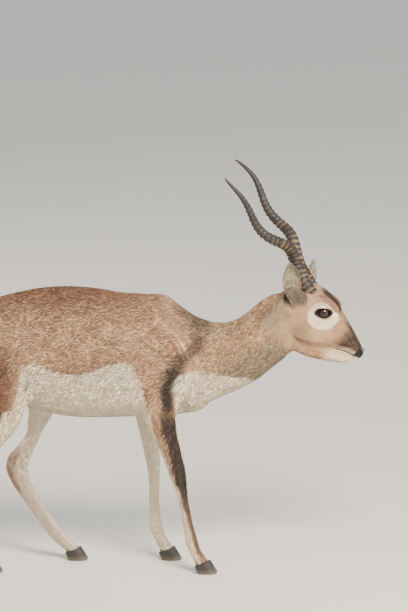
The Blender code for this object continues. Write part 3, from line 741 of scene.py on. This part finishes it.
def tuft_piece(name, points, root, place, values, finish):
    """Many tufts as one mesh, with the markings at each root and a patch of the bake map there."""
    count = len(points)
    faces = (np.arange(count)[:, None, None] * 4 + TUFT_FACES).reshape(-1, 3)
    mesh = bpy.data.meshes.new(name)
    mesh.vertices.add(count * 4)
    mesh.vertices.foreach_set("co", points.astype(np.float32).ravel())
    mesh.loops.add(len(faces) * 3)
    mesh.loops.foreach_set("vertex_index", faces.astype(np.int32).ravel())
    mesh.polygons.add(len(faces))
    mesh.polygons.foreach_set("loop_start", np.arange(0, len(faces) * 3, 3, dtype=np.int32))
    mesh.polygons.foreach_set("loop_total", np.full(len(faces), 3, np.int32))
    mesh.update(calc_edges=True)
    corners = place[:, None, :] + PATCH_CORNERS * PATCH
    layer = mesh.uv_layers.new(name="OFBake")
    layer.data.foreach_set("uv", corners.reshape(-1, 2)[faces.ravel()].astype(np.float32).ravel())
    set_marks(mesh, {m: np.repeat(v, 4) for m, v in values.items()}, np.repeat(root, 4, axis=0))
    keep_at_points(mesh, "along", np.tile((0, 0, 0, 1), count))
    mesh.materials.append(finish)
    return in_scene(name, mesh)


def set_marks(mesh, values, root):
    """Keeps the markings at each point, and the place on the skin that the coat's patterns are read at."""
    for mark, value in values.items():
        keep_at_points(mesh, mark, value)
    keep_at_points(mesh, "root", root)


def unwrap(obj):
    """The bake map: the skin's own charts, laid out side by side."""
    obj.data.uv_layers.new(name="OFBake")
    bpy.ops.object.select_all(action="DESELECT")
    bpy.context.view_layer.objects.active = obj
    obj.select_set(True)
    bpy.ops.object.mode_set(mode="EDIT")
    bpy.ops.mesh.select_all(action="SELECT")
    bpy.ops.uv.smart_project(angle_limit=math.radians(66), island_margin=0.002)
    bpy.ops.object.mode_set(mode="OBJECT")


# Horns, hooves and eyes


def horn_curve(side, t):
    """The corkscrew centre line of a horn at shares t of its length."""
    base, tip = drawn(HORN_BASE) * (1, side, 1), drawn(HORN_TIP) * (1, side, 1)
    axis = (tip - base) / np.linalg.norm(tip - base)
    ahead = np.cross((0, 1, 0), axis)
    ahead /= np.linalg.norm(ahead)
    outward = np.cross(axis, ahead)
    outward *= np.sign(outward[1] * side)
    within = np.maximum(t, 0)
    bow, bend = np.sin(math.pi * within), np.sin(2 * math.pi * within)
    angle = HORN_PHASE + 2 * math.pi * HORN_TURNS * (within + HORN_PACE * bow / math.pi)
    swing = HORN_COIL * np.minimum(1, within / HORN_RISE) * (1 - within) ** HORN_FADE
    forward = swing * np.cos(angle) + HORN_BOW[0] * bow + HORN_BEND[0] * bend
    sideways = swing * np.sin(angle) + HORN_BOW[1] * bow + HORN_BEND[1] * bend
    length = np.linalg.norm(tip - base)
    return base + np.outer(t * length, axis) + np.outer(forward, ahead) + np.outer(sideways, outward)


def tube(name, rings, finish):
    """A closed skin through rings of equal count, ends closed with one point each."""
    count, sides = rings.shape[:2]
    co = np.vstack((rings.reshape(-1, 3), rings[0].mean(0), rings[-1].mean(0)))
    faces = []
    for i in range(count - 1):
        for k in range(sides):
            j = (k + 1) % sides
            faces.append((i * sides + k, i * sides + j, (i + 1) * sides + j, (i + 1) * sides + k))
    for k in range(sides):
        j = (k + 1) % sides
        faces.append((j, k, count * sides))
        faces.append(((count - 1) * sides + k, (count - 1) * sides + j, count * sides + 1))
    made = new_mesh(name, co, faces, finish)
    bm = bmesh.new()
    bm.from_mesh(made.data)
    bmesh.ops.recalc_face_normals(bm, faces=bm.faces)
    bm.to_mesh(made.data)
    bm.free()
    return made


def horn(side, finish):
    """A horn with a blunt rolled ridge at each ring, highest in front and low down, and a smooth tip."""
    rng = np.random.default_rng(SEED + side)
    t = np.concatenate((np.linspace(-HORN_STUMP, 0, STUMP_ROWS)[:-1], np.linspace(0, 1, HORN_ROWS)))
    centre = horn_curve(side, t)
    along = np.gradient(centre, axis=0)
    along /= np.linalg.norm(along, axis=1)[:, None]
    fore = np.cross(along, (0, 1, 0))
    fore /= np.linalg.norm(fore, axis=1)[:, None]
    across = np.cross(fore, along)
    within = np.clip(t, 0, 1)
    turn = np.linspace(0, 2 * math.pi, HORN_SIDES, endpoint=False)
    uneven = rng.normal(0, RING_UNEVEN, RING_STEPS + 2)
    place = np.minimum(t, 1) * RING_STEPS + np.interp(within * RING_STEPS, np.arange(len(uneven)), uneven)
    ringed = np.clip((RINGS_END - place) / RINGS_FADE, 0, 1)[:, None]
    off = np.abs((place[:, None] + RING_LEAN * np.cos(turn)) % 2 - 1)
    ridge = np.cos(off * math.pi / 2) ** RING_SHARP * ringed
    height = RING_HEIGHT * np.sqrt(1 - within)[:, None] * ridge
    height *= 1 - RING_FRONT + RING_FRONT * np.sin(turn + RING_FRONT_TURN)
    radius = (HORN_RADIUS * (1 - within) ** HORN_TAPER + HORN_TIP_RADIUS)[:, None]
    radius = radius - GROOVE_DEPTH * (1 - ridge) * ringed + height
    rings = centre[:, None, :] + fore[:, None, :] * (radius * np.sin(turn) * HORN_DEEP)[:, :, None]
    rings += across[:, None, :] * (radius * np.cos(turn) * HORN_WIDE)[:, :, None]
    made = tube(f"horn_{'right' if side < 0 else 'left'}_ringed", rings, finish)
    keep_at_points(made.data, "ridge", np.concatenate((ridge.ravel(), (0, 0))))
    keep_at_points(made.data, "share", np.concatenate((np.repeat(within, HORN_SIDES), (0, 1))))
    return made


def claw(foot, outer, finish):
    """One claw of a cloven hoof: flat sole, rounded edge, sloping wall with growth lines, tilted top."""
    side, x, top, y = FEET[foot]
    turn = np.linspace(0, 2 * math.pi, CLAW_SIDES, endpoint=False)
    c, s = np.cos(turn), np.sin(turn)
    toe = np.maximum(c, 0) ** 2
    middle = side * y + (1 if outer else -1) * side * ((CLEFT + CLAW_WIDTH) / 2 - CLAW_LEAN * toe)
    spreads = SOLE_SPREAD + (1,) * (len(CLAW_LEVELS) - len(SOLE_SPREAD))
    rings = []
    for level, spread in zip(CLAW_LEVELS, spreads):
        growth = (0.5 + 0.5 * math.cos(level * GROWTH_TURN)) * (GROWTH_FROM < level < GROWTH_TO)
        spread *= 1 - GROWTH_DEPTH * growth
        length = HOOF_LENGTH / 2 * spread * (1 - CLAW_TAPER * level)
        width = CLAW_WIDTH / 2 * spread * (1 - TOE_TAPER * toe)
        ahead = HOOF_AHEAD * (1 - level) + length * c
        height = level * (top - TOP_DROP + length * c * (0.8 + 0.2 * level) * HOOF_TILT)
        rings.append(drawn(np.column_stack((x + ahead, middle + width * s, np.maximum(height, 0)))))
    name = f"{foot}_{'outer' if outer else 'inner'}_hoof"
    made = tube(name + "_wall", np.array(rings), finish)
    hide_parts(name)
    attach(made, "root")
    return made


def eyeball(side, finish):
    """A wet eyeball, its clear front bulging a little beyond the round."""
    bm = bmesh.new()
    bmesh.ops.create_uvsphere(bm, u_segments=48, v_segments=32, radius=EYE_RADIUS - EYE_GAP)
    bm.transform(Matrix.Rotation(math.radians(90), 4, "X"))
    mesh = bpy.data.meshes.new("eyeball")
    bm.to_mesh(mesh)
    bm.free()
    co = coordinates(mesh)
    way = np.array(GAZE) * (1, side, 1)
    way /= np.linalg.norm(way)
    facing = (co / np.linalg.norm(co, axis=1)[:, None]) @ way
    co *= (1 + CORNEA_BULGE * step(facing, CORNEA_EDGE, 1.0))[:, None]
    up = np.cross(way, np.cross((0, 0, 1), way))
    up /= np.linalg.norm(up)
    gaze = np.column_stack((co @ np.cross(way, up), co @ up, facing * EYE_RADIUS)) / EYE_RADIUS
    keep_at_points(mesh, "gaze", gaze)
    set_coordinates(mesh, co + np.array(head_point(0, side * EYE_SIDE, 0)))
    mesh.polygons.foreach_set("use_smooth", np.ones(len(mesh.polygons), bool))
    mesh.materials.append(finish)
    made = in_scene(f"eyeball_{'right' if side < 0 else 'left'}", mesh)
    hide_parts(f"eye_{'right' if side < 0 else 'left'}")
    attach(made, "root")
    return made


# Placing the camera, light and floor


# Studio: half the floor's side, the paint, the daylight and its strength, and the point the lamps face
FLOOR_REACH, FLOOR_PAINT = 40, "D9D5CE"
DAYLIGHT, DAYLIGHT_STRENGTH, LIT_POINT = "E9EEF2", 0.90, (0.1, 0, 0.45)

# Lamps: name, place, size, watts, colour
LAMPS = (
    ("key_light", (1.4, -2.6, 3.4), 1.4, 385, "FFF1DC"),
    ("fill_light", (3.0, -2.2, 1.2), 2.6, 58, "EEF3FF"),
    ("back_light", (-1.6, 2.6, 2.6), 2.0, 60, "FFF6EA"),
)


def stage_scene():
    """A plain pale floor in soft daylight, with three large lamps."""
    reach = FLOOR_REACH
    corners = [(-reach, -reach, 0), (reach, -reach, 0), (reach, reach, 0), (-reach, reach, 0)]
    new_mesh("floor", corners, [(0, 1, 2, 3)], plain_floor())
    world = bpy.data.worlds.new("soft_daylight")
    bpy.context.scene.world = world
    world.use_nodes = True
    sky = world.node_tree.nodes["Background"]
    sky.inputs["Color"].default_value = srgb(DAYLIGHT)
    sky.inputs["Strength"].default_value = DAYLIGHT_STRENGTH
    for name, place, size, watts, colour in LAMPS:
        lamp = bpy.data.lights.new(name, "AREA")
        lamp.size = size
        lamp.energy = watts
        lamp.color = srgb(colour)[:3]
        holder = in_scene(name, lamp)
        holder.location = place
        holder.rotation_euler = (Vector(LIT_POINT) - Vector(place)).to_track_quat("-Z", "Y").to_euler()


def plain_floor():
    """Matt floor paint, rolled on: pale, even and without gloss."""
    finish, _, _, shader = new_finish("plain_floor_paint")
    shader.inputs["Base Color"].default_value = srgb(FLOOR_PAINT)
    shader.inputs["Roughness"].default_value = 0.9
    return finish


def set_camera():
    """The camera at the photograph's angle, with its frame."""
    camera = bpy.data.cameras.new("photo_camera")
    camera.sensor_fit = "HORIZONTAL"
    camera.sensor_width = FILM_WIDTH
    camera.lens = FILM_WIDTH * CAMERA_DISTANCE / (FRAME_WIDTH_PX * METRES_PER_PX)
    camera.clip_start, camera.clip_end = 1.0, 120.0
    holder = in_scene("photo_camera", camera)
    bpy.context.scene.camera = holder
    sin, cos, flat = math.sin(CAMERA_AZIMUTH), math.cos(CAMERA_AZIMUTH), math.cos(CAMERA_HEIGHT)
    ahead = Vector((sin * flat, -cos * flat, math.sin(CAMERA_HEIGHT)))
    turn = ahead.to_track_quat("Z", "Y").to_matrix() @ Matrix.Rotation(-CAMERA_ROLL, 3, "Z")
    holder.matrix_world = Matrix.Translation(CAMERA_TARGET + ahead * CAMERA_DISTANCE) @ turn.to_4x4()


# Finishes


def new_finish(name):
    """A finish with its nodes, links and shader."""
    finish = bpy.data.materials.new(name)
    finish.use_nodes = True
    tree = finish.node_tree
    return finish, tree.nodes, tree.links, tree.nodes["Principled BSDF"]


def add(nodes, links, kind, settings=None, wires=None):
    """A node with its settings, and its sockets given by name or number as a value or a wire."""
    node = nodes.new(kind)
    for key, value in (settings or {}).items():
        setattr(node, key, value)
    for key, value in (wires or {}).items():
        socket = node.inputs[key]
        if isinstance(value, bpy.types.NodeSocket):
            links.new(value, socket)
        else:
            socket.default_value = value
    return node


# Settings that several nodes share. A colour mix takes its colours at sockets 6 and 7 and gives one at 2. A
# map range takes its value at 0, the range it reads at 1 and 2, and the range it gives at 3 and 4.
COLOURS = {"data_type": "RGBA"}
MULTIPLY, MULTIPLY_ADD, SCALE, LENGTH = (
    {"operation": name} for name in ("MULTIPLY", "MULTIPLY_ADD", "SCALE", "LENGTH")
)

# Patterns of the coat: name, size in millimetres, stretch. Clouds of tone are 45 mm wide and the mottle 7 mm.
# Hairs are 0.1 mm thick, too fine to show, so the streaks are drawn as locks of 3 mm.
COAT_PATTERNS = (("patches", 45, (1, 1, 1)), ("mottle", 7, (1, 1, 1.5)), ("locks", 3.0, (1, 1, 2)))

# Tan hair, darker and lighter in clouds, pale tips in the mottle and their share, cream hair of the underside
TAN, PALE_TIPS, PALE_SHARE, CREAM = ("AE805B", "D2A77E"), "EDC99F", 0.6, ("EEDCBD", "FDF0D8")

# Markings, with painted shade in part of the grey and the dark, in the order they cover each other:
# raggedness of the edge, where it starts and is full, colour
COAT_MARKS = (
    ("rust", 0.5, 0.10, 1.10, "83523A"),
    ("grey", 0.5, 0.05, 1.05, "8A8069"),
    ("dark", 0.9, 0.14, 0.92, "33271F"),
    ("white", 0.7, 0.30, 0.70, None),
    ("nose", 0.2, 0.25, 0.75, "0E0C0C"),
)

# Brightness between and on the locks, how much it differs from tuft to tuft, and how much lighter a tip is
# than the root and the bare skin, painted shade between the tufts
LOCK_LIGHT, TUFT_LIGHT, TIP_LIGHT_ROOT_SHADE = (0.88, 1.10), 0.055, 0.10
HAIR_ROUGHNESS, NOSE_ROUGHNESS = 0.72, 0.28


def coat_finish(name, bump):
    """Short antelope coat, dry hair laid flat.

    It looks dull, soft and finely locked: tan above and cream below, with rust, grey and black-brown. Only
    the bare nose is damp.
    """
    finish, nodes, links, shader = new_finish(name)
    mark = {
        which: add(nodes, links, "ShaderNodeAttribute", {"attribute_name": which}).outputs["Fac"]
        for which in ("rust", "grey", "dark", "white", "nose", "shade", "along")
    }
    root = add(nodes, links, "ShaderNodeAttribute", {"attribute_name": "root"}).outputs["Vector"]
    pattern = {}
    for which, size, stretch in COAT_PATTERNS:
        place = add(nodes, links, "ShaderNodeVectorMath", MULTIPLY, {0: root, 1: stretch}).outputs[0]
        wires = {"Vector": place, "Scale": 1 / (size * MM), "Detail": 2.0}
        pattern[which] = add(nodes, links, "ShaderNodeTexNoise", None, wires).outputs["Fac"]
    grain = add(nodes, links, "ShaderNodeMapRange", None, {0: pattern["mottle"], 1: 0.3, 2: 0.7}).outputs[0]
    cloud = {0: pattern["patches"], 1: 0.35, 2: 0.65}
    cloud = add(nodes, links, "ShaderNodeMapRange", None, cloud).outputs[0]
    pale = add(nodes, links, "ShaderNodeMath", MULTIPLY, {0: grain, 1: PALE_SHARE}).outputs[0]
    tan, cream = (
        add(nodes, links, "ShaderNodeMix", COLOURS, {0: share, 6: srgb(low), 7: srgb(high)}).outputs[2]
        for share, (low, high) in ((cloud, TAN), (grain, CREAM))
    )
    colour = add(nodes, links, "ShaderNodeMix", COLOURS, {0: pale, 6: tan, 7: srgb(PALE_TIPS)}).outputs[2]
    for which, ragged, start, full, tint in COAT_MARKS:
        wires = {0: pattern["mottle"], 1: ragged, 2: mark[which]}
        uneven = add(nodes, links, "ShaderNodeMath", MULTIPLY_ADD, wires).outputs[0]
        wires = {0: uneven, 1: start + ragged / 2, 2: full + ragged / 2}
        amount = add(nodes, links, "ShaderNodeMapRange", None, wires).outputs[0]
        wires = {0: amount, 6: colour, 7: srgb(tint) if tint else cream}
        colour = add(nodes, links, "ShaderNodeMix", COLOURS, wires).outputs[2]
    lit = {0: pattern["locks"], 1: 0.25, 2: 0.75, 3: LOCK_LIGHT[0], 4: LOCK_LIGHT[1]}
    lit = add(nodes, links, "ShaderNodeMapRange", None, lit).outputs[0]
    # Painted shade: roots and the bare skin between the tufts stay darker than the tips
    for value, change in ((mark["shade"], TUFT_LIGHT), (mark["along"], TIP_LIGHT_ROOT_SHADE)):
        lit = {0: value, 1: change, 2: lit}
        lit = add(nodes, links, "ShaderNodeMath", MULTIPLY_ADD, lit).outputs[0]
    colour = add(nodes, links, "ShaderNodeVectorMath", SCALE, {0: colour, "Scale": lit}).outputs[0]
    links.new(colour, shader.inputs["Base Color"])
    gloss = {0: mark["nose"], 3: HAIR_ROUGHNESS, 4: NOSE_ROUGHNESS}
    gloss = add(nodes, links, "ShaderNodeMapRange", None, gloss).outputs[0]
    links.new(gloss, shader.inputs["Roughness"])
    shader.inputs["Sheen Weight"].default_value = 0.10
    shader.inputs["Sheen Roughness"].default_value = 0.5
    shader.inputs["Specular IOR Level"].default_value = 0.25
    if bump:
        relief = {"Strength": 0.55, "Distance": 1.2 * MM, "Height": pattern["locks"]}
        relief = add(nodes, links, "ShaderNodeBump", None, relief).outputs[0]
        links.new(relief, shader.inputs["Normal"])
    return finish


# Horn sheath: black-brown keratin and an ochre painted highlight on its ridges. Real flakes are 1 to 2 mm,
# drawn at 4.8 mm so that they show, and a patch of the painted highlight takes in two or three rings, about
# 30 mm.
SHEATH, SHEATH_HIGHLIGHT = ("0A0908", "2B251F"), "8C6E44"
FLAKE_SIZE, HIGHLIGHT_SIZE = 4.8, 30
KERATIN_IOR = 1.54


def horn_finish():
    """Horn sheath, grown in rings.

    It looks black-brown, dull and flaking in the grooves, with an ochre painted highlight on the ridges of
    some low rings.
    """
    finish, nodes, links, shader = new_finish("ringed_horn_sheath")
    ridge = add(nodes, links, "ShaderNodeAttribute", {"attribute_name": "ridge"}).outputs["Fac"]
    share = add(nodes, links, "ShaderNodeAttribute", {"attribute_name": "share"}).outputs["Fac"]
    place = add(nodes, links, "ShaderNodeTexCoord").outputs["Object"]
    flakes = {"Vector": place, "Scale": 1 / (FLAKE_SIZE * MM), "Detail": 4.0}
    flakes = add(nodes, links, "ShaderNodeTexNoise", None, flakes).outputs["Fac"]
    cloud = {"Vector": place, "Scale": 1 / (HIGHLIGHT_SIZE * MM), "Detail": 2.0}
    cloud = add(nodes, links, "ShaderNodeTexNoise", None, cloud).outputs["Fac"]
    # Where the ochre painted highlight lies: in clouds, low on the horn, on the ridges
    amount = {0: cloud, 1: 0.42, 2: 0.64, 3: 0.06, 4: 0.85}
    amount = add(nodes, links, "ShaderNodeMapRange", None, amount).outputs[0]
    for value, low, high, start, end in ((share, 0.25, 0.55, 1.0, 0.15), (ridge, 0.45, 1.0, 0.0, 1.0)):
        highlight_share = {0: value, 1: low, 2: high, 3: start, 4: end}
        highlight_share = add(nodes, links, "ShaderNodeMapRange", None, highlight_share).outputs[0]
        amount = add(nodes, links, "ShaderNodeMath", MULTIPLY, {0: amount, 1: highlight_share}).outputs[0]
    base = {0: flakes, 6: srgb(SHEATH[0]), 7: srgb(SHEATH[1])}
    base = add(nodes, links, "ShaderNodeMix", COLOURS, base).outputs[2]
    colour = {0: amount, 6: base, 7: srgb(SHEATH_HIGHLIGHT)}
    colour = add(nodes, links, "ShaderNodeMix", COLOURS, colour).outputs[2]
    links.new(colour, shader.inputs["Base Color"])
    shader.inputs["Roughness"].default_value = 0.6
    shader.inputs["IOR"].default_value = KERATIN_IOR
    relief = {"Strength": 0.5, "Distance": 0.8 * MM, "Height": flakes}
    links.new(add(nodes, links, "ShaderNodeBump", None, relief).outputs[0], shader.inputs["Normal"])
    return finish


# Hoof: black-brown keratin, dust to 14 mm up. Its upright fibres are 0.2 mm, too fine to show, so they are
# drawn 1.1 mm wide and eight times as long.
HOOF, HOOF_DUST, DUST_HEIGHT, DUST_SHARE = ("161311", "37302B"), "7C6E5D", 14, 0.55
FIBRE_SIZE, FIBRE_STRETCH = 1.1, (1, 1, 0.12)


def hoof_finish():
    """Hoof wall, grown downwards and worn on soil.

    It looks black-brown and half dull, with fine upright grain, scuffed dusty near the ground.
    """
    finish, nodes, links, shader = new_finish("black_hoof_keratin")
    place = add(nodes, links, "ShaderNodeTexCoord").outputs["Object"]
    upright = add(nodes, links, "ShaderNodeVectorMath", MULTIPLY, {0: place, 1: FIBRE_STRETCH}).outputs[0]
    grain = {"Vector": upright, "Scale": 1 / (FIBRE_SIZE * MM), "Detail": 3.0}
    grain = add(nodes, links, "ShaderNodeTexNoise", None, grain).outputs["Fac"]
    height = add(nodes, links, "ShaderNodeSeparateXYZ", None, {0: place}).outputs[2]
    dust = {0: height, 1: DUST_HEIGHT * MM, 2: 0.0, 3: 0.0, 4: DUST_SHARE}
    dust = add(nodes, links, "ShaderNodeMapRange", None, dust).outputs[0]
    base = {0: grain, 6: srgb(HOOF[0]), 7: srgb(HOOF[1])}
    base = add(nodes, links, "ShaderNodeMix", COLOURS, base).outputs[2]
    colour = add(nodes, links, "ShaderNodeMix", COLOURS, {0: dust, 6: base, 7: srgb(HOOF_DUST)}).outputs[2]
    links.new(colour, shader.inputs["Base Color"])
    shader.inputs["Roughness"].default_value = 0.48
    shader.inputs["IOR"].default_value = KERATIN_IOR
    relief = {"Strength": 0.4, "Distance": 0.5 * MM, "Height": grain}
    links.new(add(nodes, links, "ShaderNodeBump", None, relief).outputs[0], shader.inputs["Normal"])
    return finish


# Eye: colours of the iris, of the ring where it ends and of the pupil. The pupil is 1.75 times as long as it
# is high, and the rays of the iris are 1.7 mm wide, a ninth of the eyeball's radius.
IRIS, IRIS_END, PUPIL = ("1E100A", "3A2214"), "0C0807", "040405"
PUPIL_SQUASH, RAYS = 1.75, 9.0


def eye_finish():
    """Living eye, wet with tears.

    It looks nearly black: a black-brown iris round a long level pupil, under a clear film with one highlight.
    """
    finish, nodes, links, shader = new_finish("wet_brown_eye")
    gaze = add(nodes, links, "ShaderNodeAttribute", {"attribute_name": "gaze"}).outputs["Vector"]
    reach = []
    for squash in ((1.0, PUPIL_SQUASH, 0.0), (1.0, 1.0, 0.0)):
        flat = add(nodes, links, "ShaderNodeVectorMath", MULTIPLY, {0: gaze, 1: squash}).outputs[0]
        reach.append(add(nodes, links, "ShaderNodeVectorMath", LENGTH, {0: flat}).outputs["Value"])
    rays = {"Vector": gaze, "Scale": RAYS, "Detail": 3.0}
    rays = add(nodes, links, "ShaderNodeTexNoise", None, rays).outputs["Fac"]
    colour = {0: rays, 6: srgb(IRIS[0]), 7: srgb(IRIS[1])}
    colour = add(nodes, links, "ShaderNodeMix", COLOURS, colour).outputs[2]
    for value, start, end, low, high, tint in (
        (reach[1], 0.60, 0.80, 0.0, 1.0, IRIS_END),
        (reach[0], 0.46, 0.56, 1.0, 0.0, PUPIL),
    ):
        wires = {0: value, 1: start, 2: end, 3: low, 4: high}
        amount = add(nodes, links, "ShaderNodeMapRange", None, wires).outputs[0]
        colour = add(nodes, links, "ShaderNodeMix", COLOURS, {0: amount, 6: colour, 7: srgb(tint)}).outputs[2]
    links.new(colour, shader.inputs["Base Color"])
    shader.inputs["Roughness"].default_value = 0.06
    shader.inputs["IOR"].default_value = 1.38
    shader.inputs["Coat Weight"].default_value = 0.5
    shader.inputs["Coat Roughness"].default_value = 0.02
    return finish


def main():
    """Builds every piece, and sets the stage."""
    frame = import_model()
    skin = make_skin(frame)
    unwrap(skin)
    skin.data.materials.clear()
    skin.data.materials.append(coat_finish("short_coat_skin", True))
    co, normal = coordinates(skin.data), normals(skin.data)
    marks = markings(co, normal)
    marks["shade"] = np.zeros(len(co))
    set_marks(skin.data, marks, co)
    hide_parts(*FLESH)
    for piece in [skin, *grow_coat(skin, coat_finish("short_coat_tufts", False))]:
        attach(piece, "root")
    sheath = horn_finish()
    for side, name in ((RIGHT, "horn_right"), (LEFT, "horn_left")):
        made = horn(side, sheath)
        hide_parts(name)
        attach(made, "root")
    wet, keratin = eye_finish(), hoof_finish()
    for side in (RIGHT, LEFT):
        eyeball(side, wet)
    for foot in FEET:
        claw(foot, True, keratin)
        claw(foot, False, keratin)
    stage_scene()
    set_camera()
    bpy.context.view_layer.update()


main()
